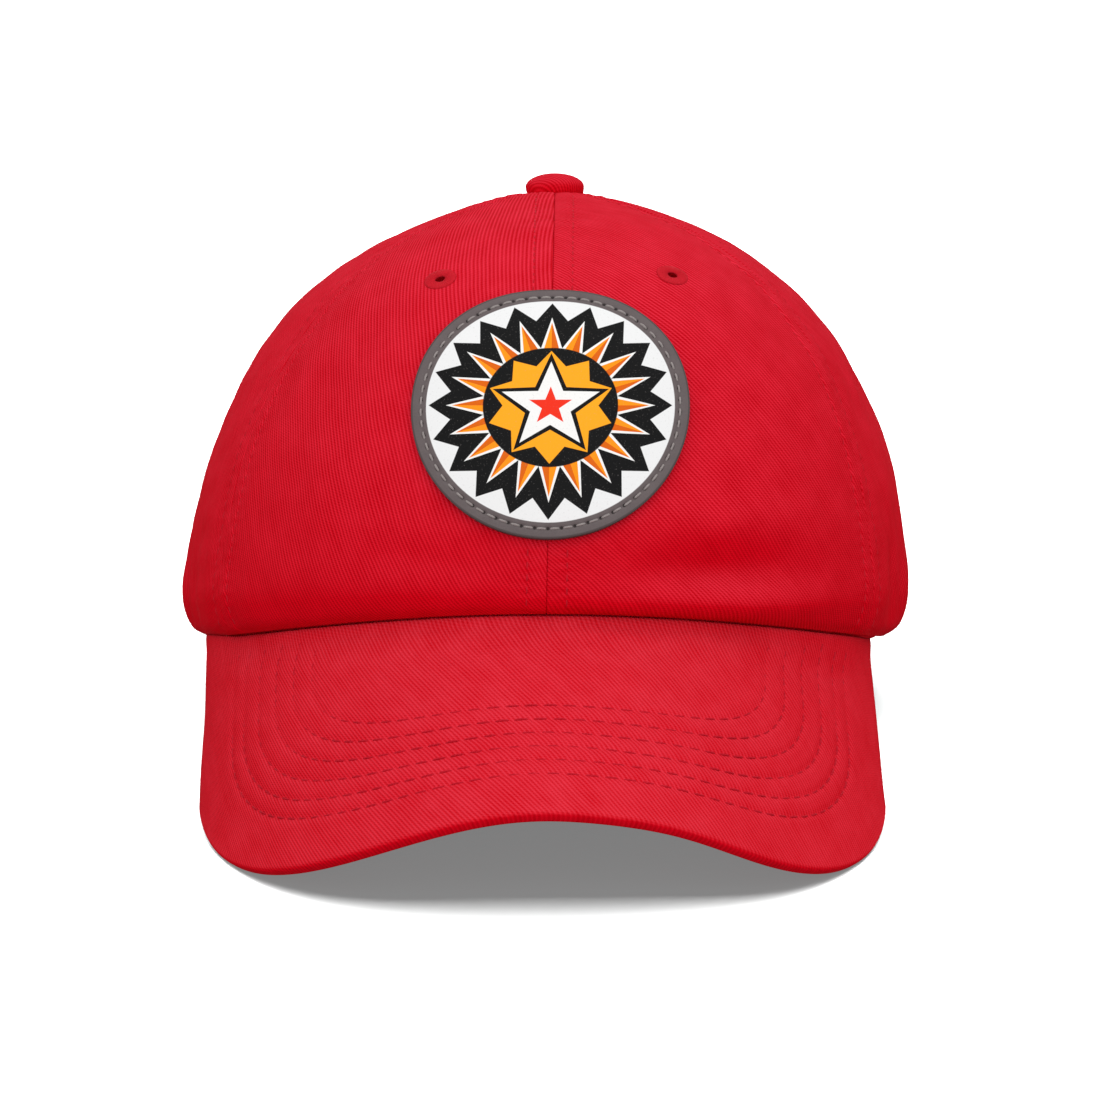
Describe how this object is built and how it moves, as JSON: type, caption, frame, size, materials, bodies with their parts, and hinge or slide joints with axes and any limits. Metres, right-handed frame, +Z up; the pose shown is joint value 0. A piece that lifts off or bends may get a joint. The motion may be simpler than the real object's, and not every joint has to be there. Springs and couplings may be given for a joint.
{
  "type": "dad hat",
  "caption": "Soft panelled cloth cap with a curved stitched peak, a round leather patch in front and a buckled strap behind, standing on its peak and strap.",
  "frame": {"origin": "on the surface that the hat rests on, below the middle of its box", "axes": "+Z up, the peak points along -Y, the wearer's left is +X"},
  "size_m": [0.1756, 0.252, 0.1316],
  "materials": {
    "crown_cloth": "matt cotton twill",
    "peak_cloth": "matt cotton twill over a stiff board",
    "eyelet_thread": "close satin stitches",
    "patch_leather": "smooth matt leather with a printed face",
    "buckle_metal": "dull antique metal"
  },
  "bodies": {
    "root": {"front_left_panel": "crown_cloth", "front_right_panel": "crown_cloth", "side_left_panel": "crown_cloth", "side_right_panel": "crown_cloth", "back_left_panel": "crown_cloth", "back_right_panel": "crown_cloth", "front_left_eyelet": "eyelet_thread", "front_right_eyelet": "eyelet_thread", "side_left_eyelet": "eyelet_thread", "side_right_eyelet": "eyelet_thread", "back_left_eyelet": "eyelet_thread", "back_right_eyelet": "eyelet_thread", "button": "crown_cloth", "peak": "peak_cloth", "sweatband": "crown_cloth", "patch": "patch_leather", "back_strap": "crown_cloth", "buckle": "buckle_metal"}
  },
  "joints": []
}
